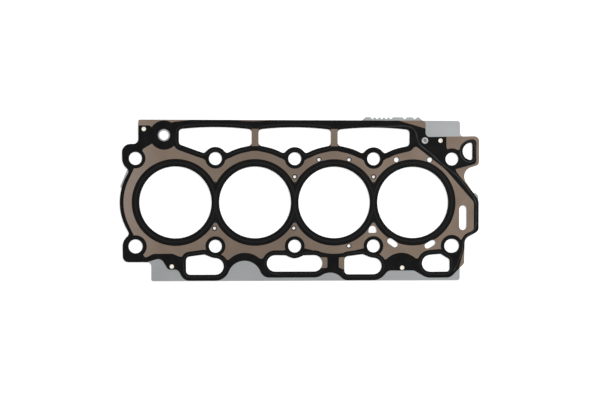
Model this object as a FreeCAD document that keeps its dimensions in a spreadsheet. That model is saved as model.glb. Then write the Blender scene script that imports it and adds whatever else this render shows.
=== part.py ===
import FreeCAD, Part
import Sketcher
import math
import os

# Cylinder head gasket of a four-cylinder engine, seen from the cylinder head side: +X along the row of
# bores, +Y towards the three long windows, +Z up. The origin is the middle of the row of bores, on the
# plane of the bead crests that touch the engine block. Lengths are in millimetres.
VALUES = {
    "bore_pitch": 84,  # between neighbouring cylinder axes
    "bore_radius": 38,
    "bolt_row": 46.4,  # from the cylinder axes to either row of head bolts
    "bolt_radius": 6.75,
    "dowel_radius": 7.3,  # the two lower end holes also clear the locating sleeves
    "dowel_play": 1.1,  # how much longer than wide the oval one is
    "sheet_play": 0.25,  # the thin sheets' bolt holes stand back from the spacer's
    # thicknesses of the stack
    "gauge": 0.25,
    "spacer_plate": 0.85,
    "film": 0.05,
    # the formed bead round each bore
    "bead_radius": 42,
    "bead_foot": 3.2,
    "bead_crest": 1.2,
    "bead_height": 0.2,
    # upper windows
    "arch_radius": 60,
    "arch_fillet": 3,
    "boss_radius": 12.4,
    "strut": 7.2,
    "window_corner": 3.5,
    "window_top": 77.7,
    "crown_radius": 310,
    "slope_foot": 12.6,
    "slope_rise": 9.1,
    "slope_corner": 64,
    # lower windows
    "low_boss": 12.5,
    "long_reach": 31,
    "long_corner": 4,
    "long_heel": 8.8,
    "long_heel_gap": 0.1,
    "long_shoulder": 3.8,
    "long_shoulder_gap": 1.1,
    "long_brow": 57.2,
    "mid_half": 29.5,
    "mid_end": 8.75,
    "mid_floor": 73.5,
    "mid_shoulder": 3,
    "mid_shoulder_gap": 0.3,
    "mid_boss": 13,
    "end_reach": 31.9,
    "end_round": 9.1,
    "end_mid": 65,
    "end_side": 2.2,
    "end_floor": 74,
    "end_corner": 3,
    "end_boss": 13.6,
    "end_shoulder_gap": 0.6,
    # outer edge of the beaded sheets
    "rim": 6.3,
    "top_edge": 87.3,
    "left_edge": 165,
    "left_corner": 2,
    "ear_edge": 182.1,
    "ear_corner": 9,
    "ear_relief": 5,
    "ear_top": 61.7,
    "ear_boss": 14,
    "arc_edge": 58.5,
    "arc_fillet": 4,
    "foot_edge": 181.4,
    "foot_boss": 13.6,
    "foot_low": 63.1,
    "foot_corner": 5.9,
    "foot_end": 157,
    "foot_turn": 5,
    "relief_mid": 144.5,
    "relief_top": 59.8,
    "relief_radius": 7,
    "lobe_radius": 4.2,
    "lobe_shift": 1.5,
    "lobe_rise": 1,
    "lobe_turn": 5,
    "lobe_turn_out": 3.5,
    "knee_radius": 10,
    "knee_out": 1.2,
    "arch_relief": 18,
    "saddle_relief": 16,
    "pad_low": 72.6,
    "pad_relief": 7,
    "pad_gap": 2,
    "heel_corner": 3.5,
    "heel_edge": 181.5,
    "heel_high": 63.8,
    "waist_relief": 8,
    "waist_top": 35.5,
    "waist_depth": 7,
    "right_edge": 197,
    "right_low": 27,
    "right_lower_corner": 6,
    "right_high": 0.5,
    "right_upper_corner": 9,
    "neck_relief": 10.6,
    "neck_mid": 27.7,
    "neck_edge": 181.3,
    "port_low_corner": 4,
    "port_top_corner": 5,
    "tab_relief": 4.5,
    "tab_drop": 17.4,
    "tab_side": 139.6,
    "tab_corner": 3.9,
    # openings in the sheets
    "port_reach": 22,  # from the end bolts to the flat side of the port
    "port_rise": 8.3,
    "port_wall": 7.2,
    "port_drop": 15.4,
    "port_head": 16.1,
    "port_corner": 2,
    "port_round": 9.3,
    "port_half": 7.25,
    "oil_mid": 138,
    "oil_row": 71,
    "oil_radius": 6.5,
    "oil_restriction": 5.05,
    "slot_mid": 180,
    "slot_row": -16.3,
    "slot_width": 8,
    "slot_length": 26.5,
    "short_slot_width": 6,
    "short_slot_length": 12.5,
    "first_slot_mid": 104.5,
    "first_slot_row": -43,
    "first_slot_turn": -35,
    "second_slot_mid": 144.7,
    "second_slot_row": -44.7,
    "second_slot_turn": 30,
    "vee_half": 4.3,
    "vee_low": 32.3,
    "vee_corner": 1,
    "vee_round": 4,
    "vee_apex": 24.7,
    "vee_mid": 83,
    # metering holes, placed from the bores and the bolts
    "meter_row": 45.5,
    "meter_low_row": 46.2,
    "meter_fore": 16.2,
    "meter_aft": 15.8,
    "meter_radius": 1.8,
    "end_meter_fore": 17.5,
    "end_meter_aft": 18.2,
    "end_meter_radius": 2.65,
    "vee_meter_row": 27.3,
    "vee_meter_shift": 0.9,
    "vee_meter_radius": 1.65,
    "meter_clearance": 0.6,
    # black seal film on the upper sheet
    "bore_seal": 46,
    "bolt_seal": 10.6,
    "dowel_seal": 11.8,
    "oil_seal": 15.5,
    "upper_seal": 6,
    "lower_seal": 5.2,
    "rim_seal": 3.9,
    "right_seal": 5.2,
    "port_seal": 4.3,
    "port_seal_out": 0.9,
    "port_seal_low": 2.65,
    "port_seal_high": 1.45,
    "port_ring": 12.6,
    "port_ring_in": 1.5,
    "port_ring_fillet": 1.5,
    # the bare field among the ports
    "field_radius": 54.6,
    "field_tip": 2.5,
    "field_apex": 2.8,
    "field_foot": 7.7,
    "hook_mid": 148.5,
    "hook_row": 58.3,
    "hook_radius": 4,
    "lobe_seal": 5,
    "lobe_seal_rise": 8.6,
    "left_apex_mid": 121.6,
    "left_apex_row": 54.4,
    "apex_row": 58,
    "high_apex_row": 57,
    "first_apex_mid": 71,
    "second_apex_mid": 35.8,
    "third_apex_mid": 96.5,
    "fourth_apex_mid": 130.3,
    "pad_seal": 4,
    "dowel_field": 6,
    "field_low_corner": 4,
    "field_high_corner": 5,
    "field_high": 1.5,
    "bow_radius": 60,
    "bow_mid": 119.4,
    "bow_row": 8.2,
    "end_tip_mid": 129.3,
    "end_tip_row": 56.8,
    "first_tip_row": 58.7,
    "oil_field": 11.7,
    "oil_tip_mid": 148.3,
    "oil_tip_row": 60.5,
    "ear_tip_mid": 158.2,
    "ear_tip_row": 55.2,
    "ear_tip": 2,
    # the bare margins and patches
    "margin_over": 3,  # how far they run on past the outer edge
    "left_margin_low": 81.2,
    "left_margin_turn": 153.5,
    "left_margin_tip": 129,
    "left_margin_dip": 2.5,
    "left_margin_end": 108,
    "right_margin_side": 162,
    "right_margin_row": 59.5,
    "right_margin_tip": 175.3,
    "right_margin_tip_row": 33.6,
    "right_margin_corner": 2.4,
    "right_margin_low": 9.5,
    "right_margin_step": 5.5,
    "heel_margin_mid": 173.2,
    "heel_margin_high": 49.5,
    "strut_edge": 0.3,
    "patch_corner": 1.5,
    "patch_high": 58.3,
    "patch_low": 69.8,
    "patch_root": 3,
    "left_patch_side": 34.8,
    "right_patch_side": 47,
    "right_patch_slope": 3,
    "left_scallop_radius": 154,
    "left_scallop_mid": -45,
    "left_scallop_depth": 1.3,
    "right_scallop_radius": 128,
    "right_scallop_mid": 100,
    "right_scallop_depth": 0.2,
    # steel spacer in the middle
    "spacer_inset": 0.8,
    "flange_low": 83.2,
    "flange_left": 151.5,
    "flange_right": 176.8,
    "flange_corner": 2,
    "flange_relief": 4,
    "flange_root": 55,
    "flange_back": 1,
    "flange_step": 0.2,
    "tab_right": 176.8,
    "tab_round": 3,
    "tab_foot": 4,
    "tab_shelf": 0.4,
    "tab_root_left": 130,
    "tab_root_right": 186,
    "tab_root_low": 62,
    "tooth_rise": 3.5,
    "tooth_pitch": 4.9,
    "tooth_first": 82.8,
    "tooth_side": 3.4,
    "sixth_tooth": 117.3,
    "last_tooth": 128,
    "comb_left": 71.5,
    "comb_right": 136.5,
    "comb_slope": 4,
    "comb_root": 2,
    "tongue_reach": 57.7,
    "tongue_corner": 2,
    "tongue_low": 17,
    "tongue_root": 44,
    "tongue_slope": 3,
    "tongue_high": 33.5,
    "tongue_high_reach": 49.3,
    "tongue_high_corner": 1.5,
    "bump_inset": 5.7,
    "bump_row": 5,
    "bump_radius": 5.4,
    # places of the eyelets and the rivet
    "corner_eyelet_in": 5.8,
    "corner_eyelet_drop": 9.9,
    "foot_eyelet_out": 46,
    "foot_eyelet_row": 67.8,
    "pad_eyelet_out": 30.8,
    "pad_eyelet_row": 69.7,
    "tab_eyelet_out": 16,
    "rivet_in": 0.7,
    "fastener_drop": 3.9,
    # eyelets and rivet
    "eyelet_head": 2.3,
    "eyelet_bore": 1.2,
    "eyelet_shank": 1.6,
    "eyelet_lip": 0.15,
    "rivet_head": 3.6,
    "rivet_dimple": 1.7,
    "rivet_lip": 0.15,
    "rivet_shank": 2.2,
    "rivet_play": 0.05,  # round the shank of an eyelet or the rivet
    "seat_clearance": 0.1,
}

# The small corners and holes of the openings are drawn with flats, which keeps the many openings light.
FLAT_LIMIT = 16  # an arc of a larger radius stays an arc
FLAT_ERROR = 0.12  # the furthest that a flat may lie from its arc
HOLE_FLATS = 12
BOLT_FLATS = 20
BAND_FLATS = 24
# directions from a head bolt to the window corners beside it, in degrees from +X
LONG_SHOULDER = 226.4
MID_LEFT_SHOULDER = 231.7
MID_RIGHT_SHOULDER = 308.3
END_SHOULDER = 222.4

document = FreeCAD.newDocument("head_gasket")
sheet = document.addObject("Spreadsheet::Sheet", "Sizes")
for row, (alias, value) in enumerate(VALUES.items(), 1):
    sheet.set(f"A{row}", alias)
    sheet.set(f"B{row}", str(value))
    sheet.setAlias(f"B{row}", alias)
document.recompute()


# A length that knows both its value and the expression that the document keeps for it.
class Length:
    def __init__(self, value, text):
        self.value = value
        self.text = text

    def __add__(self, other):
        other = length(other)
        return Length(self.value + other.value, f"({self.text} + {other.text})")

    def __radd__(self, other):
        return length(other) + self

    def __neg__(self):
        return Length(-self.value, f"(-1 * {self.text})")

    def __sub__(self, other):
        return self + -length(other)

    def __rsub__(self, other):
        return length(other) - self

    def __mul__(self, other):
        other = length(other)
        return Length(self.value * other.value, f"({self.text} * {other.text})")

    def __rmul__(self, other):
        return length(other) * self

    def __truediv__(self, other):
        return self * (1 / other)


def length(value):
    if isinstance(value, Length):
        return value
    return Length(float(value), f"({float(value)!r})")


def root(square):
    return Length(math.sqrt(square.value), f"sqrt({square.text})")


class Sizes:
    def __getattr__(self, alias):
        return Length(float(sheet.get(alias)), f"Sizes.{alias}")


s = Sizes()


# A disc is (x, y, radius). An outline runs anticlockwise round its discs along their common tangents:
# a positive radius is a corner that it turns left round, a negative one a hollow that it turns right
# round, zero a sharp corner. A disc given as a radius alone touches both of its neighbours.
def disc(x, y, radius):
    return (length(x), length(y), length(radius))


def grown(around, by):
    return (around[0], around[1], around[2] + by)


def polar(centre, reach, degrees):
    turn = math.radians(degrees)
    return (centre[0] + reach * math.cos(turn), centre[1] + reach * math.sin(turn))


def beside(neighbour, radius, side, x=None, y=None, slack=0.3):
    # the disc of that radius just clear of its neighbour, with one of its coordinates given
    reach = length(abs(neighbour[2].value)) if neighbour[2].value > 0 else -neighbour[2]
    reach = reach + (radius if length(radius).value > 0 else -length(radius)) + slack
    if x is None:
        drop = length(y) - neighbour[1]
        return disc(neighbour[0] + side * root(reach * reach - drop * drop), y, radius)
    run = length(x) - neighbour[0]
    return disc(x, neighbour[1] + side * root(reach * reach - run * run), radius)


def numbers(outline, grow):
    plain = []
    for entry in outline:
        if len(entry) == 3:
            plain.append([entry[0].value, entry[1].value, entry[2].value + grow])
        else:
            plain.append(None)
    for i, entry in enumerate(outline):
        if plain[i] is None:
            before, after = plain[i - 1], plain[(i + 1) % len(outline)]
            radius = entry[0].value + grow
            near, far = abs(before[2] - radius), abs(after[2] - radius)
            apart = math.dist(before[:2], after[:2])
            along = (near**2 - far**2 + apart**2) / (2 * apart)
            aside = math.copysign(math.sqrt(near**2 - along**2), radius)
            ux, uy = (after[0] - before[0]) / apart, (after[1] - before[1]) / apart
            plain[i] = [before[0] + along * ux - aside * uy, before[1] + along * uy + aside * ux, radius]
    return plain


def tangent(a, b, touching):
    apart = math.dist(a[:2], b[:2])
    if touching:
        nx, ny = (a[0] - b[0]) / (a[2] - b[2]), (a[1] - b[1]) / (a[2] - b[2])
        return [(a[0] - a[2] * nx, a[1] - a[2] * ny)] * 2
    step = b[2] - a[2]
    heading = math.atan2(b[1] - a[1], b[0] - a[0]) - math.asin(step / apart)
    nx, ny = -math.sin(heading), math.cos(heading)
    return [(a[0] - a[2] * nx, a[1] - a[2] * ny), (b[0] - b[2] * nx, b[1] - b[2] * ny)]


def flatten(sketch, arc):
    # flats of one length stand for a small arc, which stays in the sketch as a construction line
    curve = sketch.Geometry[arc]
    sweep = curve.LastParameter - curve.FirstParameter
    count = math.ceil(sweep / (2 * math.acos(1 - FLAT_ERROR / curve.Radius)))
    sketch.setConstruction(arc, True)
    points = [curve.value(curve.FirstParameter + sweep * k / count) for k in range(count + 1)]
    first = sketch.GeometryCount
    last = first + count - 1
    sketch.addGeometry([Part.LineSegment(*ends) for ends in zip(points, points[1:])], False)
    rules = [
        Sketcher.Constraint("Coincident", first, 1, arc, 1),
        Sketcher.Constraint("Coincident", last, 2, arc, 2),
    ]
    for flat in range(first, last):
        rules.append(Sketcher.Constraint("Coincident", flat, 2, flat + 1, 1))
        rules.append(Sketcher.Constraint("PointOnObject", flat, 2, arc))
        rules.append(Sketcher.Constraint("Equal", flat, flat + 1))
    return rules


def profile(name, outline, grow=0, flats=True):
    grow = length(grow)
    discs = numbers(outline, grow.value)
    count = len(discs)
    free = [len(entry) == 1 for entry in outline]
    ties = []
    for i in range(count):
        j = (i + 1) % count
        ties.append(tangent(discs[i], discs[j], free[i] or free[j]))
    sketch = document.addObject("Sketcher::SketchObject", name)
    shapes, arcs, lines = [], {}, {}
    for i, (x, y, radius) in enumerate(discs):
        arriving, leaving = ties[i - 1][1], ties[i][0]
        if radius:
            start = math.atan2(arriving[1] - y, arriving[0] - x)
            stop = math.atan2(leaving[1] - y, leaving[0] - x)
            if radius < 0:
                start, stop = stop, start
            sweep = (stop - start) % (2 * math.pi)
            circle = Part.Circle(FreeCAD.Vector(x, y, 0), FreeCAD.Vector(0, 0, 1), abs(radius))
            arcs[i] = len(shapes)
            shapes.append(Part.ArcOfCircle(circle, start, start + sweep))
        if not (free[i] or free[(i + 1) % count]):
            lines[i] = len(shapes)
            ends = [FreeCAD.Vector(px, py, 0) for px, py in ties[i]]
            shapes.append(Part.LineSegment(*ends))
    sketch.addGeometry(shapes, False)
    rules = []
    bindings = []
    for i in range(count):
        j = (i + 1) % count
        out = (arcs[i], 2 if discs[i][2] > 0 else 1) if i in arcs else None
        into = (arcs[j], 1 if discs[j][2] > 0 else 2) if j in arcs else (lines[j], 1)
        if i not in lines:
            rules.append(Sketcher.Constraint("Tangent", *out, *into))
        else:
            if i in arcs:
                rules.append(Sketcher.Constraint("Tangent", *out, lines[i], 1))
            if j in arcs:
                rules.append(Sketcher.Constraint("Tangent", lines[i], 2, *into))
            else:
                rules.append(Sketcher.Constraint("Coincident", lines[i], 2, *into))
    for i, entry in enumerate(outline):
        if i in arcs:
            radius = entry[-1] + grow
            bindings.append((len(rules), radius if discs[i][2] > 0 else -radius))
            rules.append(Sketcher.Constraint("Radius", arcs[i], abs(discs[i][2])))
        if not free[i]:
            point = (arcs[i], 3) if i in arcs else (lines[i], 1)
            for kind, place in (("DistanceX", entry[0]), ("DistanceY", entry[1])):
                bindings.append((len(rules), place))
                rules.append(Sketcher.Constraint(kind, -1, 1, *point, place.value))
    for i, arc in arcs.items():
        if flats and abs(discs[i][2]) <= FLAT_LIMIT:
            rules += flatten(sketch, arc)
    sketch.addConstraint(rules)
    for index, place in bindings:
        sketch.setExpression(f"Constraints[{index}]", place.text)
    return sketch


def stand(item, low, x=0, y=0):
    for axis, place in (("x", x), ("y", y), ("z", low)):
        item.setExpression(f"Placement.Base.{axis}", length(place).text)
    return item


def prism(name, sketch, low, high, x=0, y=0, turn=0):
    item = document.addObject("Part::Extrusion", name)
    item.Base = sketch
    item.DirMode = "Normal"
    item.Solid = True
    item.setExpression("LengthFwd", (length(high) - low).text)
    item.setExpression("Placement.Rotation.Angle", length(turn).text)
    return stand(item, low, x, y)


def cylinder(name, x, y, radius, low, high):
    item = document.addObject("Part::Cylinder", name)
    item.setExpression("Radius", length(radius).text)
    item.setExpression("Height", (length(high) - low).text)
    return stand(item, low, x, y)


def flatted(name, x, y, radius, low, high, flats=HOLE_FLATS):
    item = document.addObject("Part::Prism", name)
    item.Polygon = flats
    item.setExpression("Circumradius", length(radius).text)
    item.setExpression("Height", (length(high) - low).text)
    return stand(item, low, x, y)


def box(name, left, near, right, far, low, high):
    item = document.addObject("Part::Box", name)
    item.setExpression("Length", (length(right) - left).text)
    item.setExpression("Width", (length(far) - near).text)
    item.setExpression("Height", (length(high) - low).text)
    return stand(item, low, left, near)


def joined(name, pieces):
    item = document.addObject("Part::MultiFuse", name)
    item.Shapes = pieces
    item.Refine = True
    return item


def gathered(name, pieces):
    item = document.addObject("Part::Compound", name)
    item.Links = pieces
    return item


def less(name, base, tool):
    item = document.addObject("Part::Cut", name)
    item.Base = base
    item.Tool = tool
    item.Refine = True
    return item


# heights of the stack, from the plane of the lower bead crests
lower_low = s.bead_height
lower_high = lower_low + s.gauge
spacer_high = lower_high + s.spacer_plate
upper_high = spacer_high + s.gauge
film_high = upper_high + s.film
total_high = film_high + s.bead_height
through = (-1, total_high + 1)  # tools for openings run past both faces

BORES = [(s.bore_pitch * k, length(0)) for k in (-1.5, -0.5, 0.5, 1.5)]
COLUMNS = [s.bore_pitch * k for k in (-2, -1, 0, 1, 2)]
BOLTS = [(x, side * s.bolt_row) for side in (1, -1) for x in COLUMNS]
DOWELS = (5, 9)  # the bolts that stand in locating sleeves

port_flat = COLUMNS[4] + s.port_reach
port_row = s.bolt_row + s.port_rise
port_edge = port_flat + s.port_wall
port_low = port_row - s.port_drop
port_top = port_row + s.port_head
tab_low = s.top_edge - s.tab_drop
fastener_row = tab_low - s.fastener_drop
METERS = [
    (BORES[2][0] - s.meter_fore, s.meter_row, s.meter_radius),
    (BORES[2][0] + s.meter_aft, s.meter_row, s.meter_radius),
    (BORES[2][0] + s.meter_aft, -s.meter_low_row, s.meter_radius),
    (BORES[3][0] - s.end_meter_fore, s.meter_row, s.end_meter_radius),
    (BORES[3][0] + s.end_meter_aft, s.meter_row, s.end_meter_radius),
    (COLUMNS[2], s.vee_meter_row, s.vee_meter_radius),
    (COLUMNS[3], s.vee_meter_row, s.vee_meter_radius),
    (COLUMNS[1] - s.vee_meter_shift, -s.vee_meter_row, s.vee_meter_radius),
    (COLUMNS[2] - s.vee_meter_shift, -s.vee_meter_row, s.vee_meter_radius),
]
EYELETS = [
    (-s.left_edge + s.corner_eyelet_in, s.top_edge - s.corner_eyelet_drop),
    (COLUMNS[1] - s.foot_eyelet_out, -s.foot_eyelet_row),
    (COLUMNS[3] + s.pad_eyelet_out, -s.pad_eyelet_row),
    (s.tab_side + s.tab_eyelet_out, fastener_row),
]
RIVET = (s.tab_side - s.rivet_in, fastener_row)


def around_bore(number, radius):
    return disc(*BORES[number], radius)


def arch_foot(number, x):
    # the corner disc of a window where its side meets the arch over a bore
    arch = around_bore(number, -s.arch_radius)
    return beside(arch, s.window_corner, 1, x=x)


def upper_window(number):
    # a long window above two bores, between two struts
    middle = COLUMNS[number + 1]
    inset = s.strut / 2 + s.window_corner
    left, right = BORES[number][0] + inset, BORES[number + 1][0] - inset
    top = s.window_top - s.window_corner
    return [
        arch_foot(number, left),
        around_bore(number, -s.arch_radius),
        (s.arch_fillet,),
        disc(middle, s.bolt_row, -s.boss_radius),
        (s.arch_fillet,),
        around_bore(number + 1, -s.arch_radius),
        arch_foot(number + 1, right),
        disc(right, top, s.window_corner),
        (s.crown_radius,),
        disc(left, top, s.window_corner),
    ]


def first_window():
    # the left window, whose lower left side is straight
    outline = upper_window(0)
    left = outline[0][0]
    middle = COLUMNS[1]
    return [
        disc(left, s.slope_corner, s.window_corner),
        disc(middle - s.slope_foot, s.bolt_row + s.slope_rise, s.arch_fillet),
    ] + outline[3:]


def long_window(middle):
    heel_row = s.bolt_row + s.low_boss + s.long_heel + s.long_heel_gap
    left = middle - s.long_reach + s.long_corner
    bolt = (middle, -s.bolt_row)
    reach = s.low_boss + s.long_shoulder + s.long_shoulder_gap
    return {
        "foot": disc(left, -heel_row - s.long_heel + s.long_corner, s.long_corner),
        "heel": disc(middle, -heel_row, s.long_heel),
        "boss": disc(*bolt, -s.low_boss),
        "shoulder": disc(*polar(bolt, reach, LONG_SHOULDER), s.long_shoulder),
        "brow": disc(left, -s.long_brow - s.long_corner, s.long_corner),
    }


def middle_window():
    row = -s.mid_floor + s.mid_end
    bolt = (length(0), -s.bolt_row)
    reach = s.mid_boss + s.mid_shoulder + s.mid_shoulder_gap
    return {
        "left": disc(-s.mid_half + s.mid_end, row, s.mid_end),
        "right": disc(s.mid_half - s.mid_end, row, s.mid_end),
        "right_shoulder": disc(*polar(bolt, reach, MID_RIGHT_SHOULDER), s.mid_shoulder),
        "boss": disc(*bolt, -s.mid_boss),
        "left_shoulder": disc(*polar(bolt, reach, MID_LEFT_SHOULDER), s.mid_shoulder),
    }


def end_window():
    bolt = (COLUMNS[4], -s.bolt_row)
    left = bolt[0] - s.end_reach + s.end_round
    right = bolt[0] - s.end_side - s.end_corner
    reach = s.end_boss + s.end_corner + s.end_shoulder_gap
    return {
        "left": disc(left, -s.end_mid, s.end_round),
        "foot": disc(right, -s.end_floor + s.end_corner, s.end_corner),
        "brow": beside(disc(*bolt, -s.end_boss), s.end_corner, -1, x=right),
        "boss": disc(*bolt, -s.end_boss),
        "shoulder": disc(*polar(bolt, reach, END_SHOULDER), s.end_corner),
    }


def waist():
    return disc(s.right_edge - s.waist_depth, -s.waist_top - s.waist_relief, -s.waist_relief)


def sheet_outline():
    first, third = long_window(COLUMNS[1]), long_window(COLUMNS[3])
    middle, end = middle_window(), end_window()
    lobe_x, lobe_y = EYELETS[1][0] - s.lobe_shift, EYELETS[1][1] + s.lobe_rise
    lobe_turn_x = EYELETS[1][0] + s.lobe_turn_out
    pad_row = -s.pad_low - s.pad_relief
    knee_x = -s.mid_half - s.rim - s.knee_out + s.knee_radius
    third_heel = grown(third["heel"], s.rim)
    end_left = grown(end["left"], s.rim)
    return [
        disc(-s.foot_edge + s.foot_corner, -s.foot_low + s.foot_corner, s.foot_corner),
        disc(-s.foot_end, -s.foot_low + s.foot_turn, s.foot_turn),
        disc(-s.relief_mid, -s.relief_top - s.relief_radius, -s.relief_radius),
        disc(lobe_x, lobe_y, s.lobe_radius),
        disc(lobe_turn_x, lobe_y - s.lobe_radius - s.lobe_turn, -s.lobe_turn),
        grown(first["foot"], s.rim),
        grown(first["heel"], s.rim),
        (-s.arch_relief,),
        disc(knee_x, -s.mid_floor - s.rim + s.knee_radius, s.knee_radius),
        grown(middle["right"], s.rim),
        (-s.saddle_relief,),
        grown(third["foot"], s.rim),
        third_heel,
        beside(third_heel, -s.pad_relief, 1, y=pad_row),
        beside(end_left, -s.pad_relief, -1, y=pad_row, slack=s.pad_gap),
        end_left,
        grown(end["foot"], s.rim),
        disc(s.heel_edge - s.heel_corner, -s.heel_high, s.heel_corner),
        waist(),
        disc(s.right_edge - s.right_lower_corner, -s.right_low, s.right_lower_corner),
        disc(s.right_edge - s.right_upper_corner, -s.right_high, s.right_upper_corner),
        disc(s.neck_edge + s.neck_relief, s.neck_mid, -s.neck_relief),
        disc(port_edge - s.port_low_corner, port_low + s.port_low_corner, s.port_low_corner),
        disc(port_edge - s.port_top_corner, port_top - s.port_top_corner, s.port_top_corner),
        disc(s.tab_side + s.tab_relief, tab_low + s.tab_relief, -s.tab_relief),
        disc(s.tab_side - s.tab_corner, s.top_edge - s.tab_corner, s.tab_corner),
        disc(-s.left_edge + s.left_corner, s.top_edge - s.left_corner, s.left_corner),
        disc(-s.left_edge - s.ear_relief, s.ear_top + s.ear_relief, -s.ear_relief),
        disc(-s.ear_edge + s.ear_corner, s.ear_top - s.ear_corner, s.ear_corner),
        disc(*BOLTS[0], s.ear_boss),
        (-s.arc_fillet,),
        around_bore(0, s.arc_edge),
        (-s.arc_fillet,),
        disc(*BOLTS[5], s.foot_boss),
    ]


def port_outline():
    side = port_flat - s.port_corner
    return [
        disc(side, port_row - s.port_half, s.port_corner),
        disc(side, port_row + s.port_half, s.port_corner),
        (s.port_round,),
    ]


def vee_outline():
    floor = -s.vee_low + s.vee_corner
    return [
        disc(s.vee_mid - s.vee_half + s.vee_corner, floor, s.vee_corner),
        disc(s.vee_mid + s.vee_half - s.vee_corner, floor, s.vee_corner),
        disc(s.vee_mid, -s.vee_apex - s.vee_round, s.vee_round),
    ]


def slot_outline(size, width):
    end = (size - width) / 2
    return [disc(-end, 0, width / 2), disc(end, 0, width / 2)]


def oval_outline(radius):
    return slot_outline(2 * radius + s.dowel_play, 2 * radius)


# the openings that are the same in every layer
windows = [
    (profile("first_window_edge", first_window()), 0),
    (profile("upper_window_edge", upper_window(1)), 0),
    (profile("first_long_window_edge", list(long_window(COLUMNS[1]).values())), 0),
    (profile("middle_window_edge", list(middle_window().values())), 0),
    (profile("end_window_edge", list(end_window().values())), 0),
]
windows.append((windows[1][0], s.bore_pitch))
windows.append((windows[2][0], 2 * s.bore_pitch))
short_slot = profile("short_slot_edge", slot_outline(s.short_slot_length, s.short_slot_width))
long_slot = profile("long_slot_edge", slot_outline(s.slot_length, s.slot_width))
openings = [prism(f"window_{i}", sketch, *through, x=shift) for i, (sketch, shift) in enumerate(windows)]
openings += [
    prism("end_port", profile("end_port_edge", port_outline()), *through),
    prism("vee_port", profile("vee_port_edge", vee_outline()), *through),
    prism("end_slot", long_slot, *through, s.slot_mid, s.slot_row, 90),
    prism("first_slot", short_slot, *through, s.first_slot_mid, s.first_slot_row, s.first_slot_turn),
    prism("second_slot", short_slot, *through, s.second_slot_mid, s.second_slot_row, s.second_slot_turn),
]
openings += [cylinder(f"bore_{i}", *bore, s.bore_radius, *through) for i, bore in enumerate(BORES)]
openings += [flatted(f"eyelet_hole_{i}", *place, s.eyelet_shank + s.rivet_play, *through)
             for i, place in enumerate(EYELETS)]
openings.append(flatted("rivet_hole", *RIVET, s.rivet_shank + s.rivet_play, *through))
opened = gathered("openings", openings)

# the sheets' holes are wider than the spacer's, which fits the bolts and meters the coolant
plain_bolts = [place for i, place in enumerate(BOLTS) if i not in DOWELS]
wide_oval = profile("wide_dowel_edge", oval_outline(s.dowel_radius + s.sheet_play))
wide_holes = [
    flatted("wide_oil_hole", -s.oil_mid, s.oil_row, s.oil_radius, *through, BOLT_FLATS),
    flatted("wide_locating_hole", *BOLTS[5], s.dowel_radius + s.sheet_play, *through, BOLT_FLATS),
    prism("wide_dowel_hole", wide_oval, *through, *BOLTS[9]),
]
wide_holes += [flatted(f"wide_bolt_hole_{i}", *place, s.bolt_radius + s.sheet_play, *through, BOLT_FLATS)
               for i, place in enumerate(plain_bolts)]
wide_holes += [flatted(f"relief_hole_{i}", x, y, radius + s.meter_clearance, *through)
               for i, (x, y, radius) in enumerate(METERS)]
sheet_holes = gathered("sheet_holes", wide_holes)
narrow_holes = [
    flatted("oil_restriction", -s.oil_mid, s.oil_row, s.oil_restriction, *through, BOLT_FLATS),
    cylinder("locating_hole", *BOLTS[5], s.dowel_radius, *through),
    prism("dowel_hole", profile("dowel_edge", oval_outline(s.dowel_radius)), *through, *BOLTS[9]),
]
narrow_holes += [cylinder(f"bolt_hole_{i}", *place, s.bolt_radius, *through)
                 for i, place in enumerate(plain_bolts)]
narrow_holes += [flatted(f"metering_hole_{i}", x, y, radius, *through)
                 for i, (x, y, radius) in enumerate(METERS)]
spacer_holes = gathered("spacer_holes", narrow_holes)

edge = profile("sheet_edge", sheet_outline(), flats=False)


def bead(name, centre, low, upward=True):
    # a ring of trapezoid section, wide at its foot and narrow at its crest
    wide, narrow = s.bead_foot / 2, s.bead_crest / 2
    low_half, high_half = (wide, narrow) if upward else (narrow, wide)
    cones = []
    for part, side in (("outer", 1), ("inner", -1)):
        cone = document.addObject("Part::Cone", f"{name}_{part}")
        cone.setExpression("Radius1", (s.bead_radius + side * low_half).text)
        cone.setExpression("Radius2", (s.bead_radius + side * high_half).text)
        cone.setExpression("Height", s.bead_height.text)
        cones.append(stand(cone, low, *centre))
    return less(name, *cones)


def beads(name, low, upward=True):
    return joined(name, [bead(f"{name}_{i}", bore, low, upward) for i, bore in enumerate(BORES)])


def beaded_sheet(name, low, ribs, hollows):
    # a sheet whose beads stand out on one side and are hollow on the other
    blank = prism(f"{name}_blank", edge, low, low + s.gauge)
    formed = less(f"{name}_formed", joined(f"{name}_raised", [blank, ribs]), hollows)
    return less(name, less(f"{name}_pierced", formed, opened), sheet_holes)


upper_ribs = beads("upper_ribs", upper_high)
upper_active_layer = beaded_sheet("upper_active_layer", spacer_high, upper_ribs,
                                  beads("upper_hollows", spacer_high))
lower_active_layer = beaded_sheet("lower_active_layer", lower_low, beads("lower_ribs", 0, False),
                                  beads("lower_hollows", lower_high - s.bead_height, False))


# the spacer: the sheets' outline drawn in a little, with the flange below, the tab and the comb of
# thickness notches above, and two tongues that show past the sheets
def flange_outline():
    left, low = -s.flange_left, -s.flange_low
    back, step = -s.foot_end - s.flange_back, -s.foot_low - s.flange_step
    return [
        disc(left + s.flange_corner, low + s.flange_corner, s.flange_corner),
        disc(s.flange_right - s.flange_corner, low + s.flange_corner, s.flange_corner),
        disc(s.flange_right, -s.flange_root, 0),
        disc(back, -s.flange_root, 0),
        disc(back, step, 0),
        disc(left - s.flange_relief, step - s.flange_relief, -s.flange_relief),
    ]


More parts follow.
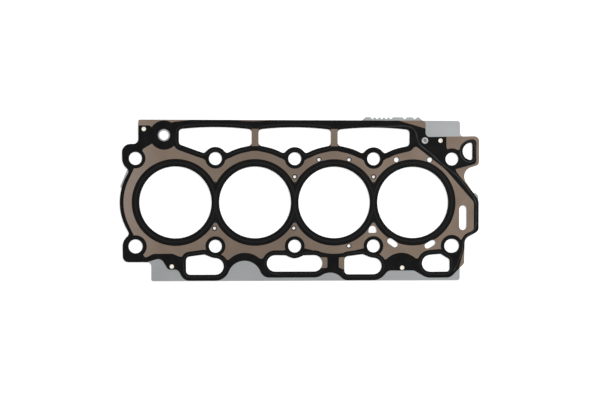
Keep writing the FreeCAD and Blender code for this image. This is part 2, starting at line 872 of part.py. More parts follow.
def tab_outline():
    shelf = port_top - s.tab_shelf
    return [
        disc(s.tab_root_left, s.tab_root_low, 0),
        disc(s.tab_root_right, s.tab_root_low, 0),
        disc(s.tab_root_right, shelf, 0),
        disc(s.tab_right + s.tab_foot, shelf + s.tab_foot, -s.tab_foot),
        disc(s.tab_right - s.tab_round, s.top_edge - s.tab_round, s.tab_round),
        disc(s.tab_root_left, s.top_edge, 0),
    ]


tooth_top = s.top_edge + s.tooth_rise


def comb_outline():
    low = s.top_edge - s.comb_root
    return [
        disc(s.comb_left, low, 0),
        disc(s.comb_right, low, 0),
        disc(s.comb_right, s.top_edge, 0),
        disc(s.comb_right - s.comb_slope, tooth_top, 0),
        disc(s.comb_left + s.comb_slope, tooth_top, 0),
        disc(s.comb_left, s.top_edge, 0),
    ]


def tongue_outline():
    # beside the arc round the first bore
    middle = BORES[0][0]
    return [
        disc(middle - s.tongue_reach + s.tongue_corner, s.tongue_low, s.tongue_corner),
        disc(middle - s.tongue_root, s.tongue_low - s.tongue_slope, s.tongue_corner),
        disc(middle - s.tongue_root, s.tongue_high + s.tongue_slope, s.tongue_corner),
        disc(middle - s.tongue_high_reach, s.tongue_high, s.tongue_high_corner),
    ]


comb = prism("comb", profile("comb_edge", comb_outline()), lower_high, spacer_high)
notch_places = [s.tooth_first + k * s.tooth_pitch for k in range(5)] + [s.sixth_tooth, s.last_tooth]
notches = []
for i, place in enumerate(notch_places):
    notch = box(f"notch_{i}", 0, 0, s.tooth_side, s.tooth_side, *through)
    stand(notch, -1, place, tooth_top - s.tooth_side / math.sqrt(2))
    notch.setExpression("Placement.Rotation.Angle", "45")
    notches.append(notch)
spacer_edge = profile("spacer_edge", sheet_outline(), -s.spacer_inset, flats=False)
spacer_blank = joined("spacer_blank", [
    prism("spacer_body", spacer_edge, lower_high, spacer_high),
    prism("flange", profile("flange_edge", flange_outline()), lower_high, spacer_high),
    prism("tab", profile("tab_edge", tab_outline()), lower_high, spacer_high),
    less("notched_comb", comb, gathered("notches", notches)),
    prism("tongue", profile("tongue_edge", tongue_outline()), lower_high, spacer_high),
    cylinder("bump", s.right_edge - s.bump_inset, s.bump_row, s.bump_radius, lower_high, spacer_high),
])
spacer_layer = less("spacer_layer", less("spacer_pierced", spacer_blank, opened), spacer_holes)


# the black film on the upper sheet: it covers the sheet and its beads apart from a bare field among
# the ports and a few bare margins, and runs on as a band round each window, bolt hole and bore
def bare_field():
    ring = (-s.bolt_seal,)
    side = s.right_edge - s.right_seal
    return [
        disc(-s.foot_end, -s.foot_low + s.field_foot, s.field_tip),
        disc(-s.hook_mid, -s.hook_row, -s.hook_radius),
        disc(EYELETS[1][0], EYELETS[1][1] + s.lobe_seal_rise, -s.lobe_seal),
        disc(-s.left_apex_mid, -s.left_apex_row, s.field_apex),
        disc(-s.first_apex_mid, -s.apex_row, s.field_apex),
        (-s.arch_relief - s.lower_seal,),
        disc(-s.second_apex_mid, -s.high_apex_row, s.field_apex),
        disc(*BOLTS[7], 0),
        around_bore(2, s.field_radius),
        disc(*BOLTS[8], 0),
        disc(s.third_apex_mid, -s.apex_row, s.field_apex),
        (-s.arch_relief - s.pad_seal,),
        disc(s.fourth_apex_mid, -s.high_apex_row, s.field_apex),
        disc(*BOLTS[9], s.dowel_field),
        grown(waist(), -s.rim_seal),
        disc(side - s.field_low_corner, -s.right_low, s.field_low_corner),
        disc(side - s.field_high_corner, -s.field_high, s.field_high_corner),
        disc(s.bow_mid, -s.bow_row, s.bow_radius),
        disc(s.end_tip_mid, s.end_tip_row, s.field_tip),
        around_bore(3, s.field_radius),
        ring,
        around_bore(2, s.field_radius),
        ring,
        around_bore(1, s.field_radius),
        ring,
        around_bore(0, s.field_radius),
        disc(-s.end_tip_mid, s.first_tip_row, s.field_tip),
        disc(-s.oil_mid, s.oil_row, -s.oil_field),
        disc(-s.oil_tip_mid, s.oil_tip_row, s.field_tip),
        disc(-s.ear_tip_mid, s.ear_tip_row, s.ear_tip),
        around_bore(0, s.field_radius),
    ]


def corners(points):
    return [disc(x, y, 0) for x, y in points]


def left_margin():
    left, top = -s.left_edge - s.margin_over, s.top_edge + s.margin_over
    return corners([
        (left, s.left_margin_low),
        (-s.left_margin_turn, s.left_margin_low),
        (-s.oil_mid, s.oil_row),
        (-s.left_margin_tip, s.top_edge - s.left_margin_dip),
        (-s.left_margin_end, s.top_edge),
        (-s.left_margin_end, top),
        (left, top),
    ])


def right_margin():
    # round the port and down to the neck
    right, top = port_edge + s.margin_over, port_top + s.margin_over
    return [
        disc(s.right_edge - s.right_margin_step, s.right_margin_low, 0),
        disc(right, s.right_margin_low, 0),
        disc(right, top, 0),
        disc(s.right_margin_side, top, 0),
        disc(s.right_margin_side, s.right_margin_row, 0),
        disc(s.right_margin_tip, s.right_margin_tip_row, s.right_margin_corner),
    ]


def heel_margin():
    low, right = -s.end_floor - s.rim, s.heel_edge + s.margin_over
    return corners([
        (s.heel_margin_mid, low),
        (right, low),
        (right, -s.heel_margin_high),
        (s.heel_edge, -s.heel_margin_high),
    ])


def left_patch():
    # a bare patch at the right end of the middle window; its own left side lies in the window
    hidden, side = s.mid_half - s.patch_root, s.left_patch_side - s.patch_corner
    return [
        disc(hidden, -s.patch_low, 0),
        disc(side, -s.patch_low + s.patch_corner, s.patch_corner),
        disc(side, -s.patch_high - s.patch_corner, s.patch_corner),
        disc(hidden, -s.patch_high, 0),
    ]


def right_patch():
    # its neighbour at the left end of the next window, lower on the side that lies in the window
    hidden, side = COLUMNS[3] - s.long_reach + s.patch_root, s.right_patch_side + s.patch_corner
    return [
        disc(side, -s.patch_low + s.patch_corner, s.patch_corner),
        disc(hidden, -s.patch_low - s.right_patch_slope, 0),
        disc(hidden, -s.patch_high, 0),
        disc(side, -s.patch_high - s.patch_corner, s.patch_corner),
    ]


def corner_seal():
    # the film round the end port and across to the bolt hole beside it
    return [
        disc(*BOLTS[4], s.bolt_seal + s.port_seal_out),
        disc(port_flat, port_row - s.port_half - s.port_seal_low, s.port_seal),
        disc(port_flat, port_row + s.port_half + s.port_seal_high, s.port_seal),
        disc(port_flat - s.port_ring_in, port_row, s.port_ring),
        (-s.port_ring_fillet,),
    ]


band_edges = [
    (first_window(), s.upper_seal, 0),
    (upper_window(1), s.upper_seal, 0),
    (upper_window(1), s.upper_seal, s.bore_pitch),
    (list(long_window(COLUMNS[1]).values()), s.lower_seal, 0),
    (list(long_window(COLUMNS[1]).values()), s.lower_seal, 2 * s.bore_pitch),
    (list(middle_window().values()), s.lower_seal, 0),
    (list(end_window().values()), s.lower_seal, 0),
    (corner_seal(), 0, 0),
]
bands = [
    prism(f"band_{i}", profile(f"band_edge_{i}", outline, grow), *through, x=shift)
    for i, (outline, grow, shift) in enumerate(band_edges)
]
bands += [cylinder(f"bore_band_{i}", *bore, s.bore_seal, *through) for i, bore in enumerate(BORES)]
for i, place in enumerate(BOLTS):
    reach = s.dowel_seal if i in DOWELS else s.bolt_seal
    bands.append(flatted(f"bolt_band_{i}", *place, reach, *through, BAND_FLATS))
bands.append(flatted("oil_band", -s.oil_mid, s.oil_row, s.oil_seal, *through, BAND_FLATS))
margins = joined("margins", [
    prism("bare_field", profile("field_edge", bare_field()), *through),
    prism("left_margin", profile("left_margin_edge", left_margin()), *through),
    prism("right_margin", profile("right_margin_edge", right_margin()), *through),
    prism("heel_margin", profile("heel_margin_edge", heel_margin()), *through),
])
bare = less("bare", margins, joined("band_union", bands))
strut_reach = s.strut / 2 + s.strut_edge
left_rise = s.left_scallop_radius - s.left_scallop_depth
right_rise = s.right_scallop_radius - s.right_scallop_depth
clear = [
    box(f"strut_margin_{i}", BORES[i][0] - strut_reach, s.arch_radius - s.strut_edge,
        BORES[i][0] + strut_reach, s.window_top + s.strut_edge, *through)
    for i in (1, 2)
]
clear += [
    prism("left_patch", profile("left_patch_edge", left_patch()), *through),
    prism("right_patch", profile("right_patch_edge", right_patch()), *through),
    cylinder("left_scallop", s.left_scallop_mid, s.top_edge + left_rise, s.left_scallop_radius, *through),
    cylinder("right_scallop", s.right_scallop_mid, s.top_edge + right_rise, s.right_scallop_radius, *through),
]
clear += [flatted(f"eyelet_clear_{i}", *place, s.eyelet_head + s.seat_clearance, *through)
          for i, place in enumerate(EYELETS)]
clear.append(flatted("rivet_clear", *RIVET, s.rivet_head + s.seat_clearance, *through))
film_blank = prism("film_blank", edge, upper_high, film_high)
film = less("film_formed", joined("film_raised", [film_blank, beads("film_ribs", film_high)]), upper_ribs)
film = less("film_trimmed", less("film_bared", film, bare), joined("clearances", clear))
upper_seal_print = less("upper_seal_print", less("film_pierced", film, opened), sheet_holes)


def hollow_eyelet(name, x, y):
    # a short tube whose two flared lips clamp the layers
    head, lip = s.eyelet_head, s.eyelet_lip
    pieces = [
        flatted(f"{name}_shank", x, y, s.eyelet_shank, lower_low, upper_high),
        flatted(f"{name}_upper_lip", x, y, head, upper_high, upper_high + lip),
        flatted(f"{name}_lower_lip", x, y, head, lower_low - lip, lower_low),
    ]
    return less(name, joined(f"{name}_body", pieces), flatted(f"{name}_bore", x, y, s.eyelet_bore, *through))


eyelets = [hollow_eyelet(f"eyelet_{i}", *place) for i, place in enumerate(EYELETS)]
layer_eyelets = gathered("layer_eyelets", eyelets)
rivet_body = joined("rivet_body", [
    flatted("rivet_stem", *RIVET, s.rivet_shank, lower_low, upper_high),
    flatted("rivet_upper_lip", *RIVET, s.rivet_head, upper_high, upper_high + s.rivet_lip),
    flatted("rivet_lower_lip", *RIVET, s.rivet_head, lower_low - s.rivet_lip, lower_low),
])
dimple = flatted("rivet_dimple", *RIVET, s.rivet_dimple, spacer_high, total_high)
tab_rivet = less("tab_rivet", rivet_body, dimple)

document.recompute()
for item in document.Objects:
    if "Invalid" in item.State or "Error" in item.State:
        raise SystemExit(f"{item.Name} did not compute: {item.State}")
SUBPARTS = [upper_active_layer, upper_seal_print, spacer_layer, lower_active_layer, layer_eyelets, tab_rivet]
os.makedirs("parts", exist_ok=True)
for item in SUBPARTS:
    shape = item.Shape
    if shape.isNull() or not shape.isValid():
        raise SystemExit(f"{item.Label} has no sound shape")
    print(item.Label, len(shape.Solids), "solids", round(shape.Volume, 1), shape.BoundBox)
    shape.exportStep(f"parts/{item.Label}.step")
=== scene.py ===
import math

import bmesh
import bpy
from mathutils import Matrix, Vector
from mathutils.bvhtree import BVHTree


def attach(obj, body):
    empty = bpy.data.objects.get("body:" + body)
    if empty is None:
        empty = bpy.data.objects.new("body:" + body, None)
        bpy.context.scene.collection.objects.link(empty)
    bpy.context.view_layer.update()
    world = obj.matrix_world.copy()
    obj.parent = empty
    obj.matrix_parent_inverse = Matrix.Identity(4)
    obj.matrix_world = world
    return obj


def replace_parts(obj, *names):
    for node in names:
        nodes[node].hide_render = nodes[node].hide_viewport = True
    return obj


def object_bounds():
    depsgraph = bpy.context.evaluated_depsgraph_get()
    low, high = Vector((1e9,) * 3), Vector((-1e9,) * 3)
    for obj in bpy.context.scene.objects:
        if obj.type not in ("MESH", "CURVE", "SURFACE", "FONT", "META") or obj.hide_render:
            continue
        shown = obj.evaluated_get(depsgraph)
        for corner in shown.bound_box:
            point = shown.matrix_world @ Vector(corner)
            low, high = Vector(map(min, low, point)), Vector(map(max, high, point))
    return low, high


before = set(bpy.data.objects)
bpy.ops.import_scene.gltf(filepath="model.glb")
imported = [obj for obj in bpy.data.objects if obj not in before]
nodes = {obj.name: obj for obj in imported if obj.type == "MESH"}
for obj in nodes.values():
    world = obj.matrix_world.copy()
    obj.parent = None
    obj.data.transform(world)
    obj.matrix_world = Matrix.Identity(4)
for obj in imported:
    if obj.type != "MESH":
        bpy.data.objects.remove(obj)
packedLow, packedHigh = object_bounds()
mm = 0.001
print("gasket loaded:", ", ".join(sorted(nodes)))


# helpers for the finishes

def newFinish(name):
    finish = bpy.data.materials.new(name)
    finish.use_nodes = True
    tree = finish.node_tree
    tree.nodes.clear()
    out = tree.nodes.new("ShaderNodeOutputMaterial")
    skin = tree.nodes.new("ShaderNodeBsdfPrincipled")
    tree.links.new(skin.outputs["BSDF"], out.inputs["Surface"])
    return finish, tree, skin


def addNode(tree, kind, inputs=None, **settings):
    node = tree.nodes.new("ShaderNode" + kind)
    for key, value in settings.items():
        setattr(node, key, value)
    for key, value in (inputs or {}).items():
        if isinstance(value, bpy.types.NodeSocket):
            tree.links.new(value, node.inputs[key])
        else:
            node.inputs[key].default_value = value
    return node


def onPart(tree):
    return addNode(tree, "TexCoord").outputs["Object"]


def cloudy(tree, size, stretch=(1, 1, 1), detail=3, roughness=0.5):
    # noise whose blotches are about size metres across, drawn out by stretch
    place = addNode(tree, "Mapping", {"Vector": onPart(tree), "Scale": stretch}).outputs["Vector"]
    return addNode(tree, "TexNoise", {"Vector": place, "Scale": 1 / size, "Detail": detail,
                                      "Roughness": roughness}).outputs["Fac"]


def spread(tree, value, low, high, fromLow=0.3, fromHigh=0.7):
    return addNode(tree, "MapRange", {"Value": value, "From Min": fromLow, "From Max": fromHigh,
                                      "To Min": low, "To Max": high}).outputs["Result"]


def mixColour(tree, amount, first, second):
    node = addNode(tree, "Mix", data_type="RGBA")
    for name, value in (("Factor", amount), ("A", first), ("B", second)):
        socket = [s for s in node.inputs if s.name == name and s.enabled][0]
        if isinstance(value, bpy.types.NodeSocket):
            tree.links.new(value, socket)
        elif name == "Factor":
            socket.default_value = value
        else:
            socket.default_value = (*value, 1)
    return [s for s in node.outputs if s.name == "Result" and s.enabled][0]


def calculate(tree, operation, first, second=0.0):
    return addNode(tree, "Math", {0: first, 1: second}, operation=operation).outputs[0]


def bumpFrom(tree, height, strength, depth):
    return addNode(tree, "Bump", {"Height": height, "Strength": strength,
                                  "Distance": depth}).outputs["Normal"]


def setSurface(tree, skin, colour, shine, relief, look):
    # look gives the gloss range, the bump's strength and depth, metallic and specular
    tree.links.new(colour, skin.inputs["Base Color"])
    tree.links.new(spread(tree, shine, *look["gloss"]), skin.inputs["Roughness"])
    tree.links.new(bumpFrom(tree, relief, *look["bump"]), skin.inputs["Normal"])
    skin.inputs["Metallic"].default_value = look["metallic"]
    skin.inputs["Specular IOR Level"].default_value = look["specular"]


def nearPlaces(tree, places, soft=0.15):
    # 1 inside the circles (x, y, radius) in mm, 0 outside, with a soft edge
    flat = addNode(tree, "VectorMath", {0: onPart(tree), 1: (1, 1, 0)}, operation="MULTIPLY").outputs[0]
    inside = None
    for x, y, radius in places:
        centre = (x * mm, y * mm, 0)
        away = addNode(tree, "VectorMath", {0: flat, 1: centre}, operation="DISTANCE").outputs["Value"]
        hit = spread(tree, away, 1, 0, (radius - soft) * mm, (radius + soft) * mm)
        inside = hit if inside is None else calculate(tree, "MAXIMUM", inside, hit)
    return inside


def cutEdges(tree):
    # 1 on the upright faces that the press tool cut
    normal = addNode(tree, "NewGeometry").outputs["Normal"]
    level = calculate(tree, "ABSOLUTE", addNode(tree, "SeparateXYZ", {0: normal}).outputs["Z"])
    return spread(tree, level, 1, 0, fromLow=0.3, fromHigh=0.5)


def dress(shape, finish):
    shape.data.materials.clear()
    shape.data.materials.append(finish)


def addPiece(name, data, finish):
    piece = bpy.data.objects.new(name, data)
    bpy.context.scene.collection.objects.link(piece)
    dress(piece, finish)
    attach(piece, "root")
    return piece


# brown coated sheets

brown = {"base": (0.190, 0.137, 0.103), "dark": (0.133, 0.097, 0.073), "pale": (0.223, 0.167, 0.128),
         "gloss": (0.38, 0.52), "bump": (0.25, 0.00003), "metallic": 0.1, "specular": 0.3,
         # painted reflection makes the brown paler at the low X end, and the brown is darker near the
         # middle, in metres
         "thin": (0.330, 0.262, 0.225), "thinEnd": (-0.178, -0.140), "thinMost": 0.6,
         "middle": -0.02, "middleReach": (0.03, 0.09), "darkMost": 0.45, "beadFoot": (0.00018, 0.00019),
         "cutEdge": (0.17, 0.148, 0.13), "blotch": 0.016, "grain": 0.0006,
         "seal": (0.005, 0.005, 0.0053),
         # the seal print closes the narrow tips between neighbouring bores, and painted shade darkens
         # rings round the small holes
         "tips": [(x, y, 3.2) for x in (-84, 0, 84) for y in (-18.6, 18.6)],
         "shadeRings": [(0, 27.3, 2.75), (84, 27.3, 2.75), (-84.9, -27.3, 2.75), (-0.9, -27.3, 2.75),
                   (25.8, 45.5, 2.7), (57.8, 45.5, 2.7), (57.8, -46.2, 2.7)]}


def coatedSheetFinish():
    finish, tree, skin = newFinish("coatedSheet")
    blotches = cloudy(tree, brown["blotch"], detail=4)
    grain = cloudy(tree, brown["grain"], detail=2, roughness=0.7)
    colour = mixColour(tree, spread(tree, blotches, 0, 1), brown["base"], brown["pale"])
    along = addNode(tree, "SeparateXYZ", {0: onPart(tree)}).outputs["X"]
    # painted reflection: the brown is painted paler towards the low X end
    thin = spread(tree, along, brown["thinMost"], 0, *brown["thinEnd"])
    colour = mixColour(tree, thin, colour, brown["thin"])
    fromMiddle = calculate(tree, "ABSOLUTE", calculate(tree, "SUBTRACT", along, brown["middle"]))
    dark = spread(tree, fromMiddle, brown["darkMost"], 0, *brown["middleReach"])
    colour = mixColour(tree, dark, colour, brown["dark"])
    specks = spread(tree, grain, 0, brown["darkMost"], fromLow=0.35, fromHigh=0.75)
    colour = mixColour(tree, specks, colour, brown["dark"])
    colour = mixColour(tree, cutEdges(tree), colour, brown["cutEdge"])
    height = addNode(tree, "SeparateXYZ", {0: onPart(tree)}).outputs["Z"]
    crest = spread(tree, height, 1, 0, *brown["beadFoot"])  # the lower sheet's beads are printed too
    sealed = calculate(tree, "MAXIMUM", crest, nearPlaces(tree, brown["tips"]))
    # painted shade: dark rings round the small holes, drawn in the seal print's colour
    sealed = calculate(tree, "MAXIMUM", sealed, nearPlaces(tree, brown["shadeRings"], soft=0.25))
    colour = mixColour(tree, sealed, colour, brown["seal"])
    setSurface(tree, skin, colour, blotches, grain, brown)
    return finish


coatedSheet = coatedSheetFinish()
dress(nodes["upper_active_layer"], coatedSheet)
dress(nodes["lower_active_layer"], coatedSheet)
print("brown coating on both sheets")


# black seal print

black = {"base": (0.0042, 0.0042, 0.0044), "pale": (0.0075, 0.0075, 0.0078),
         "wornHighlight": (0.0120, 0.0120, 0.0125), "blotch": 0.009, "grain": 0.0005,
         "gloss": (0.45, 0.6), "bump": (0.3, 0.00003), "metallic": 0, "specular": 0.06,
         "crest": (0.00168, 0.0018),  # the heights over which the print is worn and carries a painted highlight, in metres
         # the print leaves a wedge of brown coat bare beside the tab, above this slanting line (mm)
         "wedgeStart": (112, 86.9, 0), "wedgeAcross": (0.279, 0.960, 0), "wedgeSoft": 0.1,
         "wedgeSide": 100, "wedgeFoot": 77,
         # for the underside, in mm: print above beadFrom is on a bead and goes to underBead, and the
         # rest is mirrored about half of flip
         "beadFrom": 1.61, "underBead": 0.03, "flip": 1.75}


def sealFinish(name, base, gloss):
    finish, tree, skin = newFinish(name)
    blotches = cloudy(tree, black["blotch"], detail=4)
    grain = cloudy(tree, black["grain"], detail=2, roughness=0.7)
    colour = mixColour(tree, spread(tree, blotches, 0, 1), base, black["pale"])
    place = addNode(tree, "SeparateXYZ", {0: onPart(tree)})
    # painted highlight on the bead crests, where the print is also worn
    crest = spread(tree, place.outputs["Z"], 0, 1, *black["crest"])
    colour = mixColour(tree, crest, colour, black["wornHighlight"])
    start = tuple(value * mm for value in black["wedgeStart"])
    fromStart = addNode(tree, "VectorMath", {0: onPart(tree), 1: start}, operation="SUBTRACT").outputs[0]
    across = addNode(tree, "VectorMath", {0: fromStart, 1: black["wedgeAcross"]},
                     operation="DOT_PRODUCT").outputs["Value"]
    pastSide = calculate(tree, "GREATER_THAN", place.outputs["X"], black["wedgeSide"] * mm)
    pastFoot = calculate(tree, "GREATER_THAN", place.outputs["Y"], black["wedgeFoot"] * mm)
    soft = black["wedgeSoft"] * mm
    wedge = calculate(tree, "MULTIPLY", spread(tree, across, 0, 1, -soft, soft),
                      calculate(tree, "MULTIPLY", pastSide, pastFoot))
    colour = mixColour(tree, wedge, colour, brown["base"])
    setSurface(tree, skin, colour, blotches, grain, {**black, "gloss": gloss})
    return finish


sealPrint = sealFinish("sealPrint", black["base"], black["gloss"])
dress(nodes["upper_seal_print"], sealPrint)


def printUnderside():
    # the same print on the lower sheet; over its beads the sheet itself is coloured
    mesh = bmesh.new()
    mesh.from_mesh(nodes["upper_seal_print"].data)
    bmesh.ops.remove_doubles(mesh, verts=mesh.verts, dist=1e-6)
    for corner in mesh.verts:
        raised = corner.co.z > black["beadFrom"] * mm
        corner.co.z = black["underBead"] * mm if raised else black["flip"] * mm - corner.co.z
    bmesh.ops.recalc_face_normals(mesh, faces=mesh.faces)
    data = bpy.data.meshes.new("lowerSealPrint")
    mesh.to_mesh(data)
    mesh.free()
    addPiece("lowerSealPrint", data, sealPrint)


printUnderside()
print("seal print on both sides")


# embossed lines in the bands round the windows, all sizes in mm

ridge = {"height": 0.15, "halfWidth": 0.6, "foot": 1.59, "rows": 5,
         # the ribs are drawn in a paler black as a painted highlight, bright on the side line and dim
         # round the windows
         "sideHighlight": (0.058, 0.058, 0.060), "windowHighlight": (0.022, 0.022, 0.023),
         "gloss": (0.35, 0.5),
         # points are step apart and smoothed so many times, and an open line fades in over fadePoints
         "step": 0.8, "smoothEdge": 4, "smoothLine": 6, "smoothSide": 30, "fadePoints": 12,
         # openings are found in the upper sheet's flat top, and need this many points
         "sheetTop": 1.55, "topReach": 0.01, "fewestPoints": 9,
         # a point in each window and how far outside its edge the line runs
         "windows": [(-84, 70, 3.0), (0, 70, 3.0), (-96, -68, 2.6), (0, -66, 2.6), (72, -68, 2.6),
                     (152, -67, 2.6)],
         "port": (185, 54.7, 3.0),
         # the line that runs down the slanting band and the right side
         "side": [(60, 79.4), (95, 80.9), (116, 81.6), (124, 80.8), (128.6, 77), (130.1, 72.6),
                  (130.6, 66.5), (132.4, 62.3), (135.5, 59.5), (145, 52.5), (157, 41.2), (173.7, 28.8),
                  (182.1, 18.1), (188.9, 9.6), (193.4, 3.2), (194.3, -1), (194.3, -26.2), (191.4, -31.2),
                  (183, -37), (180.2, -43), (179.6, -52), (174.6, -65.5), (169.3, -74.5)]}


def openingLoops():
    # closed edges of the upper sheet's openings, as lists of (x, y) in mm
    data = nodes["upper_active_layer"].data
    top = {}
    for face in data.polygons:
        fromTop = abs(face.center.z - ridge["sheetTop"] * mm)
        if face.normal.z > 0.9 and fromTop < ridge["topReach"] * mm:
            names = [tuple(round(c / mm, 2) for c in data.vertices[i].co[:2]) for i in face.vertices]
            for a, b in zip(names, names[1:] + names[:1]):
                top[(a, b)] = top.get((a, b), 0) + 1
    following = {a: b for a, b in top if (b, a) not in top}
    loops = []
    while following:
        start, point = following.popitem()
        loop = [start]
        while point != start and point in following:
            loop.append(point)
            point = following.pop(point)
        loops.append(loop)
    return loops


def holds(loop, x, y):
    # whether the point is inside the loop: the edges to its right are crossed an odd number of times
    inside = False
    for (ax, ay), (bx, by) in zip(loop, loop[1:] + loop[:1]):
        if (ay > y) != (by > y) and x < ax + (y - ay) * (bx - ax) / (by - ay):
            inside = not inside
    return inside


def evenPoints(loop, step):
    # points at even steps along a closed loop
    points = []
    carried = 0.0
    for a, b in zip(loop, loop[1:] + loop[:1]):
        run = math.dist(a, b)
        at = -carried
        while at + step <= run:
            at += step
            points.append(Vector((a[0] + (b[0] - a[0]) * at / run, a[1] + (b[1] - a[1]) * at / run)))
        carried = run - at
    return points


def softened(points, times):
    for _ in range(times):
        following = points[1:] + points[:1]
        points = [(points[i - 1] + points[i] * 2 + following[i]) / 4 for i in range(len(points))]
    return points


def outwardLine(loop, reach):
    # a smooth closed line that runs reach outside the loop
    points = softened(evenPoints(loop, ridge["step"]), ridge["smoothEdge"])
    turn = sum(a.x * b.y - b.x * a.y for a, b in zip(points, points[1:] + points[:1]))
    side = 1 if turn > 0 else -1
    line = []
    for i, point in enumerate(points):
        along = (points[(i + 1) % len(points)] - points[i - 1]).normalized()
        line.append(point + Vector((along.y, -along.x)) * side * reach)
    return softened(line, ridge["smoothLine"])


def sideLine():
    points = [Vector(spot) for spot in ridge["side"]]
    line = []
    for a, b in zip(points, points[1:]):
        steps = max(1, round((b - a).length / ridge["step"]))
        line += [a.lerp(b, step / steps) for step in range(steps)]
    for _ in range(ridge["smoothSide"]):
        line[1:-1] = [(a + b * 2 + c) / 4 for a, b, c in zip(line, line[1:], line[2:])]
    return line


def windowLine(loops, x, y, reach):
    around = [loop for loop in loops if len(loop) >= ridge["fewestPoints"] and holds(loop, x, y)]
    return outwardLine(min(around, key=len), reach), True


def printTester():
    # gives a function that tells whether the print lies under a corner
    data = nodes["upper_seal_print"].data
    surface = BVHTree.FromPolygons([corner.co.copy() for corner in data.vertices],
                                   [list(face.vertices) for face in data.polygons])
    return lambda corner: surface.ray_cast(Vector((*corner[:2], 1)), Vector((0, 0, -1)))[0] is not None


def raiseRidges(name, lines, colour):
    # a low rounded rib along each line, only where the print lies under it
    onPrint = printTester()
    corners, faces, printed = [], [], []
    count = ridge["rows"]
    for line, closed in lines:
        first = len(printed)
        for i, point in enumerate(line):
            after = line[(i + 1) % len(line)] if closed else line[min(i + 1, len(line) - 1)]
            before = line[i - 1] if closed else line[max(i - 1, 0)]
            along = (after - before).normalized()
            across = Vector((along.y, -along.x))
            fromEnd = min(i, len(line) - 1 - i)
            fade = 1 if closed else min(1, fromEnd / ridge["fadePoints"])
            for row in range(count):
                turn = row / (count - 1) * 2 - 1
                spot = point + across * ridge["halfWidth"] * turn
                rise = ridge["foot"] + fade * ridge["height"] * math.cos(turn * math.pi / 2)
                corners.append((spot.x * mm, spot.y * mm, rise * mm))
            printed.append(onPrint(corners[-count]) and onPrint(corners[-1]))
        for i in range(len(line) if closed else len(line) - 1):
            here, there = first + i, first + (i + 1) % len(line)
            if printed[here] and printed[there]:
                for row in range(count - 1):
                    a, b = here * count + row, there * count + row
                    faces.append((a, a + 1, b + 1, b))
    data = bpy.data.meshes.new(name)
    data.from_pydata(corners, [], faces)
    mesh = bmesh.new()
    mesh.from_mesh(data)
    unused = [corner for corner in mesh.verts if not corner.link_faces]
    bmesh.ops.delete(mesh, geom=unused, context="VERTS")
    for face in mesh.faces:
        if face.normal.z < 0:
            face.normal_flip()
        face.smooth = True
    mesh.to_mesh(data)
    mesh.free()
    # the rib's colour is a painted highlight
    addPiece(name, data, sealFinish(name, colour, ridge["gloss"]))


loops = openingLoops()
windowLines = [windowLine(loops, *place) for place in ridge["windows"]]
sideLines = [(sideLine(), False), windowLine(loops, *ridge["port"])]
# painted highlight lines along the ribs
raiseRidges("windowRidges", windowLines, ridge["windowHighlight"])
raiseRidges("sideRidges", sideLines, ridge["sideHighlight"])
print("embossed lines round the windows")


# bare steel plate

steel = {"base": (0.345, 0.354, 0.358), "dark": (0.285, 0.294, 0.30), "pale": (0.40, 0.415, 0.425),
         "cutEdge": (0.24, 0.245, 0.25), "streak": 0.0007, "stretch": (0.03, 1, 1), "cloud": 0.05,
         "darkMost": 0.4, "gloss": (0.36, 0.5), "bump": (0.2, 0.00002), "metallic": 0.5, "specular": 0.5,
         # painted shade darkens the rims of the small metering holes
         "rimShade": (0.035, 0.032, 0.030),
         "shadedRims": [(25.8, 45.5, 2.6), (57.8, 45.5, 2.6), (57.8, -46.2, 2.6), (108.5, 45.5, 3.4),
                  (144.2, 45.5, 3.4), (0, 27.3, 2.4), (84, 27.3, 2.4), (-84.9, -27.3, 2.4),
                  (-0.9, -27.3, 2.4)]}


def spacerSteelFinish():
    finish, tree, skin = newFinish("spacerSteel")
    streaks = cloudy(tree, steel["streak"], stretch=steel["stretch"], detail=3, roughness=0.6)
    clouds = cloudy(tree, steel["cloud"], detail=3)
    colour = mixColour(tree, spread(tree, clouds, 0, 1), steel["base"], steel["pale"])
    dark = spread(tree, streaks, 0, steel["darkMost"], fromLow=0.35, fromHigh=0.7)
    colour = mixColour(tree, dark, colour, steel["dark"])
    colour = mixColour(tree, cutEdges(tree), colour, steel["cutEdge"])
    # painted shade round the small metering holes
    colour = mixColour(tree, nearPlaces(tree, steel["shadedRims"]), colour, steel["rimShade"])
    setSurface(tree, skin, colour, streaks, streaks, steel)
    return finish


dress(nodes["spacer_layer"], spacerSteelFinish())
print("brushed steel on the spacer")


# eyelets and rivet

turning = {"steps": 64, "grain": 0.0004, "gloss": (0.26, 0.42), "bump": (0.2, 0.00002), "specular": 0.5}
eyelet = {"base": (0.80, 0.73, 0.60), "pale": (0.93, 0.88, 0.77), "metallic": 0.15,
          # radius and height of each point of the section, in mm
          "section": [(1.2, 0.3), (1.2, 1.45), (1.25, 1.58), (1.4, 1.66), (1.65, 1.695), (1.95, 1.685),
                      (2.2, 1.64), (2.3, 1.58), (2.28, 1.552), (1.6, 1.552), (1.6, 0.198),
                      (2.28, 0.198), (2.3, 0.17), (2.2, 0.11), (1.95, 0.065), (1.65, 0.055),
                      (1.4, 0.09), (1.25, 0.17)]}
rivet = {"base": (0.40, 0.41, 0.42), "pale": (0.52, 0.53, 0.54), "metallic": 0.6,
         "shade": (0.055, 0.052, 0.05), "shadeMost": 0.8,
         "shadeRadii": ((0.5, 1.75), (3.25, 3.7)),  # inner and outer radius of each ring of painted shade, in mm
         "section": [(0, 1.52), (0.35, 1.51), (0.6, 1.46), (0.9, 1.42), (1.4, 1.42), (1.65, 1.47),
                     (1.78, 1.6), (1.95, 1.68), (2.3, 1.698), (3.0, 1.68), (3.4, 1.63), (3.58, 1.58),
                     (3.58, 1.552), (2.2, 1.552), (2.2, 0.198), (3.58, 0.198), (3.55, 0.16),
                     (3.2, 0.09), (2.4, 0.055), (0, 0.055)]}


